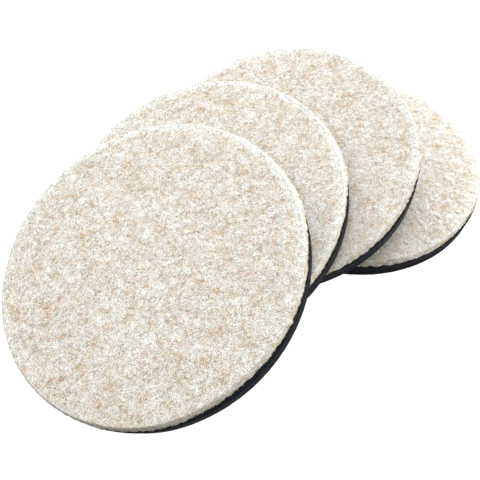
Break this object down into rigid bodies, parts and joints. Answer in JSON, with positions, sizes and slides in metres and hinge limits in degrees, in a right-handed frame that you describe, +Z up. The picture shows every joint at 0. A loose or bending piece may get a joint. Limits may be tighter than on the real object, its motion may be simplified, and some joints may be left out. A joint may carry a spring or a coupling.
{
  "type": "furniture slider",
  "caption": "Round furniture sliders of mottled oatmeal felt bonded to a black foam-rubber grip pad, fanned out felt side up; the felt glides on hard floors, the pad grips a leg.",
  "frame": {"origin": "centre of the underside of the slider that lies flat, on the table", "axes": "+Z up from the table, -Y towards the viewer of the picture, +X to that viewer's right"},
  "size_m": [0.2072, 0.1804, 0.0399],
  "materials": {
    "felt": "needle-punched felt, mottled oatmeal, fuzzy",
    "bond_film": "hot-melt adhesive film",
    "grip_foam": "matte closed-cell foam rubber, die cut"
  },
  "bodies": {
    "slider_4": {"felt_pad_4": "felt", "bond_film_4": "bond_film", "grip_pad_4": "grip_foam"},
    "slider_3": {"felt_pad_3": "felt", "bond_film_3": "bond_film", "grip_pad_3": "grip_foam"},
    "slider_2": {"felt_pad_2": "felt", "bond_film_2": "bond_film", "grip_pad_2": "grip_foam"},
    "slider_1": {"felt_pad_1": "felt", "bond_film_1": "bond_film", "grip_pad_1": "grip_foam"}
  },
  "joints": [
    {"name": "slider_3_lift", "type": "slide", "parent": "slider_4", "child": "slider_3", "axis": [0, 0, 1], "range_m": [0, 0.08]},
    {"name": "slider_2_lift", "type": "slide", "parent": "slider_3", "child": "slider_2", "axis": [0, 0, 1], "range_m": [0, 0.08]},
    {"name": "slider_1_lift", "type": "slide", "parent": "slider_2", "child": "slider_1", "axis": [0, 0, 1], "range_m": [0, 0.08]}
  ]
}
